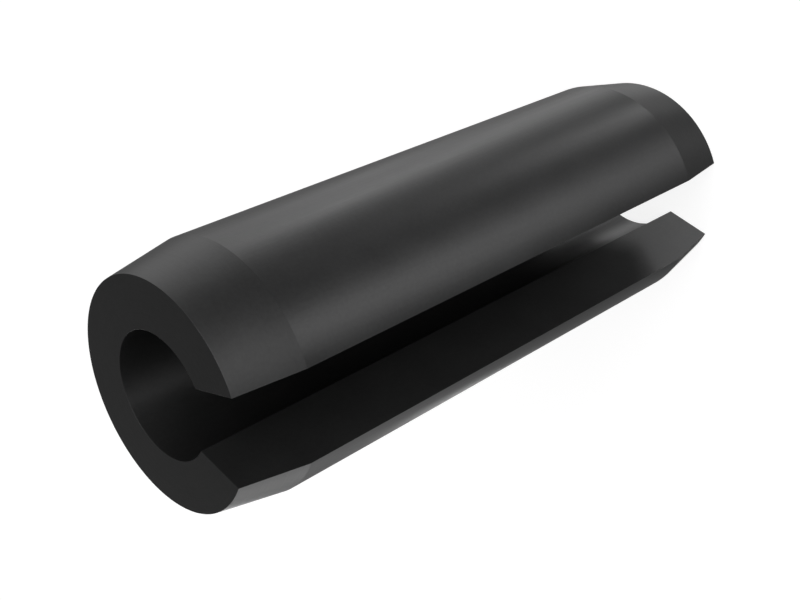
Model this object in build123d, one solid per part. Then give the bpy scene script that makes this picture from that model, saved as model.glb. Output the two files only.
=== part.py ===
from build123d import *
from math import radians, sqrt, tan
import os

# Spring roll pin: one strip of hardened spring steel, rolled up into a thick-walled tube that
# doesn't close. The gap left between the strip's two edges is the slot, which runs the whole
# length. Both ends are tapered on the outside, so that the pin starts into a hole smaller than
# itself; driving it in closes the slot, and the wall then presses outwards all along the hole.
# The pin stands on one end: Z is its axis, the lower end face is at zero, and the slot faces +X.

# All lengths are in millimetres and in the free state, before the pin goes into its 10 mm hole.
length = 30.0
outer_diameter = 10.73
strip_thickness = 2.71

# The tapered ends, both alike: how far each reaches along the pin, and how small it leaves the tip.
taper_length = 3.0
tip_diameter = 9.65

# The slot: its width where it opens into the bore, and the angle between the strip's two edges,
# which lean apart, so that the slot is wider at the outside.
slot_width = 2.70
slot_flare = 29.5

# Tumbling takes the sharpness off every edge, but leaves it looking crisp.
edge_break = 0.04

outer_radius = outer_diameter / 2
bore_radius = outer_radius - strip_thickness
tip_radius = tip_diameter / 2


def rolled_tube():
    """The tube with its bore and both tapered ends, before the slot is opened."""
    with BuildPart() as tube:
        with BuildSketch(Plane.XZ):
            with BuildLine():
                Polyline(
                    (bore_radius, 0),
                    (tip_radius, 0),
                    (outer_radius, taper_length),
                    (outer_radius, length - taper_length),
                    (tip_radius, length),
                    (bore_radius, length),
                    close=True,
                )
            make_face()
        revolve(axis=Axis.Z)
    return tube.part


def slot_space():
    """The space between the strip's two edges, from where they meet the bore out past the surface."""
    half_width = slot_width / 2
    lip = sqrt(bore_radius**2 - half_width**2)
    reach = outer_radius
    half_width_outside = half_width + reach * tan(radians(slot_flare / 2))
    with BuildPart() as space:
        with BuildSketch(Plane.XY):
            with BuildLine():
                Polyline(
                    (0, -half_width),
                    (lip, -half_width),
                    (lip + reach, -half_width_outside),
                    (lip + reach, half_width_outside),
                    (lip, half_width),
                    (0, half_width),
                    close=True,
                )
            make_face()
        extrude(amount=length)
    return space.part


def roll_pin():
    """The finished pin: the tube with its slot open and its edges broken."""
    slotted = rolled_tube() - slot_space()
    return fillet(slotted.edges(), edge_break)


os.makedirs("parts", exist_ok=True)
export_step(roll_pin(), "parts/roll_pin.step")
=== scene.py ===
import bpy
from math import cos, pi, radians, sin, tan
from mathutils import Matrix, Vector


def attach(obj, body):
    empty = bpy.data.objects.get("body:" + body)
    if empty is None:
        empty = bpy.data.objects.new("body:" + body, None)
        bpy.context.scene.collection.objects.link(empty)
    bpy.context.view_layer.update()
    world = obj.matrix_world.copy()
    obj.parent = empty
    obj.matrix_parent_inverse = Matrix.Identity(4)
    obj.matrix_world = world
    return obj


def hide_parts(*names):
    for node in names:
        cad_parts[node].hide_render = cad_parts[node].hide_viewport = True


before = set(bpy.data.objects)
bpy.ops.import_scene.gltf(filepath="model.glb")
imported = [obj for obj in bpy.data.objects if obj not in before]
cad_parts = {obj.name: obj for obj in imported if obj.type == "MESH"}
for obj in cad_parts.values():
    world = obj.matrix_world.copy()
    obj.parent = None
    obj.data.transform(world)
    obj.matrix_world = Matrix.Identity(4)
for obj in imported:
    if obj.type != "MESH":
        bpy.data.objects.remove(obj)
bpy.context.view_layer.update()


# The pin: one flat strip of spring steel, rolled up round its long axis into a tube that doesn't
# close. It stands on its end, as the frame has it, and the slot between the strip's edges faces
# +X. After the rolling its ends are ground flat and tapered, then it is hardened and blackened.

mm = 0.001
pin_length = 30 * mm
outer_diameter = 10.73 * mm
strip_thickness = 2.71 * mm
taper_length = 3 * mm
tip_diameter = 9.65 * mm
slot_width = 2.7 * mm
slot_flare = radians(29.5)
segments_round = 240
segments_along = 16
edge_break = 0.01 * mm
edge_break_segments = 3
least_edge_turn = radians(5)


def add_node(tree, kind, place, **settings):
    """A node at a place on the tree's sheet, with its settings."""
    node = tree.nodes.new(kind)
    node.location = place
    for name, value in settings.items():
        setattr(node, name, value)
    return node


def feed(tree, socket, value):
    """Puts a link or a plain value into an input socket."""
    if isinstance(value, bpy.types.NodeSocket):
        tree.links.new(value, socket)
    else:
        socket.default_value = value


def calculate(tree, operation, place, *values):
    """A Math node on links or numbers, and its result."""
    node = add_node(tree, "ShaderNodeMath", place, operation=operation)
    for socket, value in zip(node.inputs, values):
        feed(tree, socket, value)
    return node.outputs[0]


def spread(tree, place, value, from_min, from_max, to_min, to_max, kind="LINEAR"):
    """A clamped Map Range node, and its result."""
    node = add_node(tree, "ShaderNodeMapRange", place, clamp=True, interpolation_type=kind)
    for socket, given in zip(node.inputs, (value, from_min, from_max, to_min, to_max)):
        feed(tree, socket, given)
    return node.outputs[0]


def rolling_tree():
    """Geometry Nodes that roll a flat strip up into the pin."""
    tree = bpy.data.node_groups.new("roll_a_strip", "GeometryNodeTree")
    sockets = tree.interface
    for name, kind in (
        ("Length", "NodeSocketFloat"),
        ("Outer Diameter", "NodeSocketFloat"),
        ("Strip Thickness", "NodeSocketFloat"),
        ("Taper Length", "NodeSocketFloat"),
        ("Tip Diameter", "NodeSocketFloat"),
        ("Slot Width", "NodeSocketFloat"),
        ("Slot Flare", "NodeSocketFloat"),
        ("Segments Round", "NodeSocketInt"),
        ("Segments Along", "NodeSocketInt"),
        ("Material", "NodeSocketMaterial"),
    ):
        sockets.new_socket(name, in_out="INPUT", socket_type=kind)
    sockets.new_socket("Geometry", in_out="OUTPUT", socket_type="NodeSocketGeometry")
    given = add_node(tree, "NodeGroupInput", (-1600, 0)).outputs
    taper = given["Taper Length"]
    last_row_ends = given["Segments Along"]

    # The flat strip is a block of 1 by 1 by 1, so a place in it runs from -0.5 to 0.5 each way:
    # across it from edge to edge, through its thickness, and along it.
    first, last = -0.5, 0.5
    columns = calculate(tree, "ADD", (-1400, 300), given["Segments Round"], 1)
    rows = calculate(tree, "ADD", (-1400, 150), last_row_ends, 1)
    strip = add_node(tree, "GeometryNodeMeshCube", (-1200, 300))
    feed(tree, strip.inputs["Vertices X"], columns)
    feed(tree, strip.inputs["Vertices Z"], rows)
    place = add_node(tree, "GeometryNodeInputPosition", (-1400, -50))
    split = add_node(tree, "ShaderNodeSeparateXYZ", (-1200, -50))
    feed(tree, split.inputs[0], place.outputs[0])
    across, through, along = split.outputs

    # Height up the pin: the first and last rows of faces are the tapers, and the rest the shank.
    row = spread(tree, (-1000, -200), along, first, last, 0, last_row_ends)
    last_row = calculate(tree, "SUBTRACT", (-1000, -400), last_row_ends, 1)
    shank = calculate(tree, "MULTIPLY_ADD", (-1000, -600), taper, -2, given["Length"])
    lower = spread(tree, (-800, -200), row, 0, 1, 0, taper)
    middle = spread(tree, (-800, -450), row, 1, last_row, 0, shank)
    upper = spread(tree, (-800, -700), row, last_row, last_row_ends, 0, taper)
    lower_and_middle = calculate(tree, "ADD", (-600, -200), lower, middle)
    height = calculate(tree, "ADD", (-600, -350), lower_and_middle, upper)

    # Radius: the bore's on the strip's inner face, and on its outer face the shank's, narrowed by
    # the tapers.
    outer = calculate(tree, "MULTIPLY", (-1000, 700), given["Outer Diameter"], 0.5)
    tip = calculate(tree, "MULTIPLY", (-1000, 550), given["Tip Diameter"], 0.5)
    bore = calculate(tree, "SUBTRACT", (-1000, 850), outer, given["Strip Thickness"])
    shank_ends = calculate(tree, "SUBTRACT", (-800, 100), given["Length"], taper)
    from_below = spread(tree, (-600, 600), height, 0, taper, tip, outer)
    from_above = spread(tree, (-600, 350), height, shank_ends, given["Length"], outer, tip)
    outside = calculate(tree, "MINIMUM", (-400, 500), from_below, from_above)
    radius = spread(tree, (-200, 600), through, first, last, bore, outside)

    # Angle: each edge of the strip is a plane that leans from the slot's middle by half the flare.
    lean = calculate(tree, "MULTIPLY", (-800, 1050), given["Slot Flare"], 0.5)
    half_slot = calculate(tree, "MULTIPLY", (-800, 1200), given["Slot Width"], 0.5)
    corner_sine = calculate(tree, "DIVIDE", (-600, 1200), half_slot, bore)
    corner = calculate(tree, "ARCSINE", (-400, 1200), corner_sine)
    corner_from_lean = calculate(tree, "SUBTRACT", (-200, 1200), corner, lean)
    offset_sine = calculate(tree, "SINE", (-200, 1050), corner_from_lean)
    edge_offset = calculate(tree, "MULTIPLY", (0, 1200), offset_sine, bore)
    edge_sine = calculate(tree, "DIVIDE", (200, 1200), edge_offset, radius)
    edge_from_lean = calculate(tree, "ARCSINE", (400, 1200), edge_sine)
    edge_angle = calculate(tree, "ADD", (600, 1200), edge_from_lean, lean)
    far_edge_angle = calculate(tree, "SUBTRACT", (800, 1200), 2 * pi, edge_angle)
    angle = spread(tree, (1000, 900), across, first, last, far_edge_angle, edge_angle)

    # Each point remembers where it lay on the flat strip, and how far in from the nearer edge.
    from_back = calculate(tree, "SUBTRACT", (1200, 500), angle, pi)
    round_the_pin = calculate(tree, "MULTIPLY", (1400, 500), from_back, outer)
    into_the_strip = calculate(tree, "MULTIPLY", (1400, 350), through, given["Strip Thickness"])
    flat_place = add_node(tree, "ShaderNodeCombineXYZ", (1600, 400))
    for socket, value in zip(flat_place.inputs, (round_the_pin, into_the_strip, height)):
        feed(tree, socket, value)
    from_centre_line = calculate(tree, "ABSOLUTE", (1000, 100), across)
    inwards = calculate(tree, "SUBTRACT", (1200, 100), last, from_centre_line)
    sweep = calculate(tree, "SUBTRACT", (1000, -50), far_edge_angle, edge_angle)
    inwards_angle = calculate(tree, "MULTIPLY", (1400, 100), inwards, sweep)
    from_strip_edge = calculate(tree, "MULTIPLY", (1600, 100), inwards_angle, radius)

    # The grinding reaches both ends, and the outside of the two end rows of faces. A face goes by
    # its centre, which lies on the end itself or, in an end row, half a row from it.
    end_reach, end_row_reach = 0.25, 0.75
    outside_from = 0.25
    one_row = calculate(tree, "DIVIDE", (-1200, -900), 1, last_row_ends)
    from_middle = calculate(tree, "ABSOLUTE", (-1000, -900), along)
    row_limit = calculate(tree, "MULTIPLY_ADD", (-1000, -1050), one_row, -end_row_reach, last)
    end_limit = calculate(tree, "MULTIPLY_ADD", (-1000, -1200), one_row, -end_reach, last)
    in_end_row = calculate(tree, "GREATER_THAN", (-800, -950), from_middle, row_limit)
    on_end = calculate(tree, "GREATER_THAN", (-800, -1200), from_middle, end_limit)
    on_outside = calculate(tree, "GREATER_THAN", (-1000, -1350), through, outside_from)
    on_taper = calculate(tree, "MULTIPLY", (-600, -1000), in_end_row, on_outside)
    ground = calculate(tree, "MAXIMUM", (-400, -1000), on_taper, on_end)

    marked = strip.outputs["Mesh"]
    for column, (name, kind, domain, value) in enumerate((
        ("flat_place", "FLOAT_VECTOR", "POINT", flat_place.outputs[0]),
        ("from_strip_edge", "FLOAT", "POINT", from_strip_edge),
        ("ground", "FLOAT", "FACE", ground),
    )):
        mark = add_node(tree, "GeometryNodeStoreNamedAttribute", (1800 + 200 * column, 400))
        mark.data_type = kind
        mark.domain = domain
        feed(tree, mark.inputs["Geometry"], marked)
        feed(tree, mark.inputs["Name"], name)
        feed(tree, mark.inputs["Value"], value)
        marked = mark.outputs[0]

    # The rolling itself: every point goes to its angle, radius and height.
    cosine = calculate(tree, "COSINE", (1200, 900), angle)
    x = calculate(tree, "MULTIPLY", (1400, 900), cosine, radius)
    sine = calculate(tree, "SINE", (1200, 700), angle)
    y = calculate(tree, "MULTIPLY", (1400, 700), sine, radius)
    rolled = add_node(tree, "ShaderNodeCombineXYZ", (1600, 700))
    for socket, value in zip(rolled.inputs, (x, y, height)):
        feed(tree, socket, value)
    roll = add_node(tree, "GeometryNodeSetPosition", (2400, 400))
    feed(tree, roll.inputs["Geometry"], marked)
    feed(tree, roll.inputs["Position"], rolled.outputs[0])
    smooth = add_node(tree, "GeometryNodeSetShadeSmooth", (2600, 400))
    feed(tree, smooth.inputs["Geometry"], roll.outputs[0])
    real = add_node(tree, "GeometryNodeRealizeInstances", (2800, 400))
    feed(tree, real.inputs["Geometry"], smooth.outputs[0])
    finish = add_node(tree, "GeometryNodeSetMaterial", (3000, 400))
    feed(tree, finish.inputs["Geometry"], real.outputs[0])
    feed(tree, finish.inputs["Material"], given["Material"])
    out = add_node(tree, "NodeGroupOutput", (3200, 400))
    feed(tree, out.inputs["Geometry"], finish.outputs[0])
    return tree


# The pin's finish: a thin black oxide from a hot salt bath, oiled, near black with a satin gloss.
# The steel's faint lines show through it: along the strip from its rolling, and round the ground
# tapers and ends. It is a little uneven, as the bath leaves it, and a little thinner on edges.

oxide_dark = (0.0295, 0.0295, 0.0298, 1)
oxide_light = (0.0393, 0.0393, 0.0395, 1)
oxide_on_edges = (0.040, 0.040, 0.040, 1)
metal_share = 0.8
smoothest = 0.35
roughest = 0.41
cloud_size = 1.9 * mm
cloud_detail = 3
speck_size = 0.16 * mm
line_width = 0.07 * mm
line_length = 9 * mm
fine_detail = 2
fine_share = 0.5
edge_thinning_width = 0.06 * mm
least_edge_thinning = 0.4
micrometre = 0.000001
line_depth_in_micrometres = 1.0
grain_depth_in_micrometres = 0.5


def unevenness_group():
    """A shader node group: soft unevenness, with its own size along each axis of a place."""
    tree = bpy.data.node_groups.new("unevenness", "ShaderNodeTree")
    sockets = tree.interface
    sockets.new_socket("Place", in_out="INPUT", socket_type="NodeSocketVector")
    sockets.new_socket("Size", in_out="INPUT", socket_type="NodeSocketVector")
    sockets.new_socket("Detail", in_out="INPUT", socket_type="NodeSocketFloat")
    sockets.new_socket("Amount", in_out="OUTPUT", socket_type="NodeSocketFloat")
    given = add_node(tree, "NodeGroupInput", (-600, 0)).outputs
    scaled = add_node(tree, "ShaderNodeVectorMath", (-400, 0), operation="DIVIDE")
    feed(tree, scaled.inputs[0], given["Place"])
    feed(tree, scaled.inputs[1], given["Size"])
    noise = add_node(tree, "ShaderNodeTexNoise", (-200, 0))
    feed(tree, noise.inputs["Vector"], scaled.outputs[0])
    feed(tree, noise.inputs["Scale"], 1)
    feed(tree, noise.inputs["Detail"], given["Detail"])

    # Most of the noise lies in the middle half of its range, so that half is spread over 0 to 1.
    usual_least, usual_most = 0.25, 0.75
    amount = spread(tree, (0, 0), noise.outputs["Fac"], usual_least, usual_most, 0, 1)
    out = add_node(tree, "NodeGroupOutput", (200, 0))
    feed(tree, out.inputs["Amount"], amount)
    return tree


def near_an_edge_group():
    """A shader node group: 1 where two faces of the strip meet, falling to 0 over a width."""
    tree = bpy.data.node_groups.new("near_an_edge", "ShaderNodeTree")
    sockets = tree.interface
    sockets.new_socket("Flat Place", in_out="INPUT", socket_type="NodeSocketVector")
    for name in ("From Strip Edge", "Strip Thickness", "Length", "Width"):
        sockets.new_socket(name, in_out="INPUT", socket_type="NodeSocketFloat")
    sockets.new_socket("Amount", in_out="OUTPUT", socket_type="NodeSocketFloat")
    given = add_node(tree, "NodeGroupInput", (-1000, 0)).outputs
    split = add_node(tree, "ShaderNodeSeparateXYZ", (-800, 0))
    feed(tree, split.inputs[0], given["Flat Place"])
    half_thickness = calculate(tree, "MULTIPLY", (-800, 300), given["Strip Thickness"], 0.5)
    from_middle = calculate(tree, "ABSOLUTE", (-600, 150), split.outputs[1])
    from_face = calculate(tree, "SUBTRACT", (-400, 200), half_thickness, from_middle)
    from_top = calculate(tree, "SUBTRACT", (-600, -150), given["Length"], split.outputs[2])
    from_end = calculate(tree, "MINIMUM", (-400, -100), split.outputs[2], from_top)
    from_side = given["From Strip Edge"]

    # A point of the surface lies on one of three pairs of faces, so the middle one of its three
    # distances is the one from the nearest edge.
    larger = calculate(tree, "MAXIMUM", (-200, 200), from_face, from_end)
    smaller = calculate(tree, "MINIMUM", (-200, 0), from_face, from_end)
    capped = calculate(tree, "MINIMUM", (0, 200), larger, from_side)
    middle = calculate(tree, "MAXIMUM", (200, 100), smaller, capped)
    amount = spread(tree, (400, 0), middle, 0, given["Width"], 1, 0, "SMOOTHSTEP")
    out = add_node(tree, "NodeGroupOutput", (600, 0))
    feed(tree, out.inputs["Amount"], amount)
    return tree


def place_group(tree, group, place, **values):
    """A node group with its inputs filled in, and its first output."""
    node = add_node(tree, "ShaderNodeGroup", place, node_tree=group)
    for name, value in values.items():
        feed(tree, node.inputs[name.replace("_", " ")], value)
    return node.outputs[0]


def read_mark(tree, name, place):
    """The outputs of the node that reads one of the marks left on the rolled strip."""
    return add_node(tree, "ShaderNodeAttribute", place, attribute_name=name).outputs


def mix(tree, place, kind, share, first, second):
    """A Mix node for colours or vectors, and its result."""
    node = add_node(tree, "ShaderNodeMix", place, data_type=kind)
    sockets = [socket for socket in node.inputs if socket.enabled]
    for socket, value in zip(sockets, (share, first, second)):
        feed(tree, socket, value)
    return next(socket for socket in node.outputs if socket.enabled)


def relief(tree, place, height):
    """A Bump node for a height in micrometres, and its normal."""
    node = add_node(tree, "ShaderNodeBump", place)
    feed(tree, node.inputs["Distance"], micrometre)
    feed(tree, node.inputs["Height"], height)
    return node.outputs[0]


def black_oxide():
    """The material of the whole pin."""
    material = bpy.data.materials.new("black_oxide_spring_steel")
    material.use_nodes = True
    tree = material.node_tree
    shader = tree.nodes["Principled BSDF"]
    shader.location = (600, 0)
    shader.inputs["Metallic"].default_value = metal_share

    place = add_node(tree, "ShaderNodeTexCoord", (-1400, 300)).outputs["Object"]
    flat_place = read_mark(tree, "flat_place", (-1400, 0))["Vector"]
    from_strip_edge = read_mark(tree, "from_strip_edge", (-1400, -200))["Fac"]
    ground = read_mark(tree, "ground", (-1400, -400))["Fac"]

    uneven = unevenness_group()

    def pattern(row, where, size, detail):
        return place_group(tree, uneven, (-1000, row), Place=where, Size=size, Detail=detail)

    # Clouds and specks lie all over. Lines run along the flat strip, or across it where it is
    # ground, which is round the pin once it is rolled.
    clouds = pattern(500, place, (cloud_size,) * 3, cloud_detail)
    specks = pattern(300, place, (speck_size,) * 3, fine_detail)
    rolled_lines = pattern(100, flat_place, (line_width, line_width, line_length), fine_detail)
    ground_lines = pattern(-100, flat_place, (line_length, line_width, line_width), fine_detail)
    lines = spread(tree, (-800, 0), ground, 0, 1, rolled_lines, ground_lines)
    edges = place_group(
        tree, near_an_edge_group(), (-1000, -350),
        Flat_Place=flat_place, From_Strip_Edge=from_strip_edge,
        Strip_Thickness=strip_thickness, Length=pin_length, Width=edge_thinning_width,
    )

    # Clouds are a part of the unevenness. The rest is specks in the colour, and lines in the gloss.
    cloud_part = calculate(tree, "MULTIPLY", (-800, 500), clouds, 1 - fine_share)
    tone = calculate(tree, "MULTIPLY_ADD", (-600, 400), specks, fine_share, cloud_part)
    oxide = mix(tree, (-400, 400), "RGBA", tone, oxide_dark, oxide_light)
    thinning = spread(tree, (-800, -300), clouds, 0, 1, least_edge_thinning, 1)
    thinned = calculate(tree, "MULTIPLY", (-600, -300), edges, thinning)
    colour = mix(tree, (-200, 300), "RGBA", thinned, oxide, oxide_on_edges)
    feed(tree, shader.inputs["Base Color"], colour)
    dullness = calculate(tree, "MULTIPLY_ADD", (-600, 150), lines, fine_share, cloud_part)
    roughness = spread(tree, (-400, 150), dullness, 0, 1, smoothest, roughest)
    feed(tree, shader.inputs["Roughness"], roughness)

    grain = calculate(tree, "MULTIPLY", (-400, -150), specks, grain_depth_in_micrometres)
    depth = line_depth_in_micrometres
    rolled_height = calculate(tree, "MULTIPLY_ADD", (-200, -50), rolled_lines, depth, grain)
    ground_height = calculate(tree, "MULTIPLY_ADD", (-200, -250), ground_lines, depth, grain)
    rolled_normal = relief(tree, (0, -50), rolled_height)
    ground_normal = relief(tree, (0, -250), ground_height)
    normal = mix(tree, (300, -200), "VECTOR", ground, rolled_normal, ground_normal)
    feed(tree, shader.inputs["Normal"], normal)
    return material


def make_pin():
    """The rolled strip as a plain mesh, with its edges broken."""
    tree = rolling_tree()
    maker = bpy.data.objects.new("rolled_strip", bpy.data.meshes.new("rolled_strip"))
    bpy.context.scene.collection.objects.link(maker)
    rolling = maker.modifiers.new("roll", "NODES")
    rolling.node_group = tree
    values = {
        "Length": pin_length,
        "Outer Diameter": outer_diameter,
        "Strip Thickness": strip_thickness,
        "Taper Length": taper_length,
        "Tip Diameter": tip_diameter,
        "Slot Width": slot_width,
        "Slot Flare": slot_flare,
        "Segments Round": segments_round,
        "Segments Along": segments_along,
        "Material": black_oxide(),
    }
    for item in tree.interface.items_tree:
        if item.in_out == "INPUT":
            rolling[item.identifier] = values[item.name]
    broken = maker.modifiers.new("edge_break", "BEVEL")
    broken.width = edge_break
    broken.segments = edge_break_segments
    broken.limit_method = "ANGLE"
    broken.angle_limit = least_edge_turn
    broken.harden_normals = True
    state = bpy.context.evaluated_depsgraph_get()
    mesh = bpy.data.meshes.new_from_object(
        maker.evaluated_get(state), preserve_all_data_layers=True, depsgraph=state
    )
    mesh.name = "spring_pin"
    pin = bpy.data.objects.new("spring_pin", mesh)
    bpy.context.scene.collection.objects.link(pin)
    bpy.data.objects.remove(maker)
    return pin


pin = make_pin()
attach(pin, "root")
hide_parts("roll_pin")


# The floor: a pale, matt floor that the pin stands on. Only the camera sees it, so the soft light
# from below its level reaches the pin too. Near the pin its glow is a little under white, and its
# matt share of the light, which the pin's shadow takes away, makes up the rest.

floor_reach = 2.0
floor_colour = (0.28, 0.28, 0.28, 1)
floor_glow = 0.85
floor_glow_grows_from = 0.1
floor_is_white_from = 0.4

floor = bpy.data.objects.new("floor", bpy.data.meshes.new("floor"))
corners = [
    (-floor_reach, -floor_reach, 0),
    (floor_reach, -floor_reach, 0),
    (floor_reach, floor_reach, 0),
    (-floor_reach, floor_reach, 0),
]
floor.data.from_pydata(corners, [], [(0, 1, 2, 3)])
floor_paint = bpy.data.materials.new("pale_floor")
floor_paint.use_nodes = True
painting = floor_paint.node_tree
paint = painting.nodes["Principled BSDF"]
paint.inputs["Base Color"].default_value = floor_colour
paint.inputs["Roughness"].default_value = 1
paint.inputs["Specular IOR Level"].default_value = 0
paint.inputs["Emission Color"].default_value = (1, 1, 1, 1)
floor_place = add_node(painting, "ShaderNodeTexCoord", (-800, 0)).outputs["Object"]
from_pin = add_node(painting, "ShaderNodeVectorMath", (-600, 0), operation="LENGTH")
feed(painting, from_pin.inputs[0], floor_place)
distance = from_pin.outputs["Value"]
reach = (floor_glow_grows_from, floor_is_white_from)
glow = spread(painting, (-400, 0), distance, *reach, floor_glow, 1, "SMOOTHSTEP")
feed(painting, paint.inputs["Emission Strength"], glow)
floor.data.materials.append(floor_paint)
bpy.context.scene.collection.objects.link(floor)
floor.visible_diffuse = False
floor.visible_glossy = False
floor.visible_shadow = False


# The surround: a plain white backdrop for the camera, and for glass. The light that it gives the
# pin is an even, dim grey, because the real one's black finish mirrors no white around it.

surround_brightness = 0.21

world = bpy.data.worlds.new("studio")
bpy.context.scene.world = world
world.use_nodes = True
sky = world.node_tree
ray = add_node(sky, "ShaderNodeLightPath", (-600, 0)).outputs
seen = calculate(sky, "MAXIMUM", (-400, 0), ray["Is Camera Ray"], ray["Is Transmission Ray"])
background = sky.nodes["Background"]
background.inputs["Color"].default_value = (1, 1, 1, 1)
strength = spread(sky, (-200, 0), seen, 0, 1, surround_brightness, 1)
feed(sky, background.inputs["Strength"], strength)


# The lamps: round softboxes that all face the pin's middle, brightest in the middle of their
# cloth and fading to nothing at the rim. They stand all round it, also below the floor's level,
# because the photographed pin hangs free.

pin_middle = Vector((0, 0, pin_length / 2))
lamp_distance = 1.0


def add_lamp(name, turn, rise, half_angle, even_share, brightness):
    """One softbox, with its turn from +X, its rise and half the angle that it fills in degrees, the
    share of its radius that is evenly bright, and that brightness, where 1 is white."""
    lamp = bpy.data.lights.new(name, "AREA")
    lamp.shape = "DISK"
    radius = lamp_distance * tan(radians(half_angle))
    area = pi * radius**2
    lamp.size = 2 * radius
    lamp.energy = brightness * pi * area

    # On its cloth the disc has its centre at 0.5, 0.5 and a radius of 0.5.
    cloth_centre = (0.5, 0.5, 0)
    rim = 0.5
    lamp.use_nodes = True
    tree = lamp.node_tree
    cloth = add_node(tree, "ShaderNodeNewGeometry", (-600, 0)).outputs["Parametric"]
    from_centre = add_node(tree, "ShaderNodeVectorMath", (-400, 0), operation="DISTANCE")
    feed(tree, from_centre.inputs[0], cloth)
    feed(tree, from_centre.inputs[1], cloth_centre)
    distance = from_centre.outputs["Value"]
    glow = spread(tree, (-200, 0), distance, rim * even_share, rim, 1, 0, "SMOOTHSTEP")
    feed(tree, tree.nodes["Emission"].inputs["Strength"], glow)

    holder = bpy.data.objects.new(name, lamp)
    level = cos(radians(rise))
    way = Vector((level * cos(radians(turn)), level * sin(radians(turn)), sin(radians(rise))))
    place = Matrix.Translation(pin_middle + way * lamp_distance)
    holder.matrix_world = place @ way.to_track_quat("Z", "Y").to_matrix().to_4x4()
    bpy.context.scene.collection.objects.link(holder)


add_lamp("front_lamp", 31, 17, 43, 0.3, 1.95)
add_lamp("left_upper_lamp", 71, 35.5, 40, 0.05, 2.75)
add_lamp("left_lamp", 136, -16, 43, 0, 1.65)
add_lamp("left_spot_lamp", 134.5, -38, 6.5, 0.3, 6.5)
add_lamp("left_back_lamp", 163, -38.5, 5, 0.45, 1.65)
add_lamp("right_side_lamp", -78, -6.5, 39, 0, 2.2)
add_lamp("right_back_lamp", -124.5, -8.5, 16.5, 0.75, 5.5)
add_lamp("right_back_spot_lamp", -117, -38, 5, 0, 3.6)
add_lamp("low_front_lamp", 35, -35.5, 19, 0, 4.7)
add_lamp("low_wide_lamp", 47.5, -54.5, 16.5, 0, 2.0)
add_lamp("low_left_lamp", 101.5, -54.5, 6, 0.9, 6.5)
add_lamp("low_back_lamp", 156, -55, 12, 0.85, 0.68)
add_lamp("top_lamp", 0, 90, 28, 0.2, 0.6)


# The camera: at the photograph's viewing angle. That holds the pin level, with its slot facing
# sideways and its top end nearest, so +Y is up in the picture.

camera_turn = radians(45)
camera_tilt = radians(28.46)
camera_place = Vector((34.30, 25.54, 51.70)) * mm
picture_width = 800
focal_length_in_pixels = 1261.7
film_width = 36
nearest_seen = 1 * mm

back = Vector((
    sin(camera_turn) * cos(camera_tilt),
    sin(camera_tilt),
    cos(camera_turn) * cos(camera_tilt),
))
right = Vector((cos(camera_turn), 0, -sin(camera_turn)))
up = back.cross(right)
facing = Matrix((right, up, back)).transposed().to_4x4()
camera = bpy.data.objects.new("camera", bpy.data.cameras.new("camera"))
camera.matrix_world = Matrix.Translation(camera_place) @ facing
camera.data.sensor_width = film_width
camera.data.lens = film_width * focal_length_in_pixels / picture_width
camera.data.clip_start = nearest_seen
bpy.context.scene.collection.objects.link(camera)
bpy.context.scene.camera = camera

bpy.context.scene.view_settings.view_transform = "Standard"
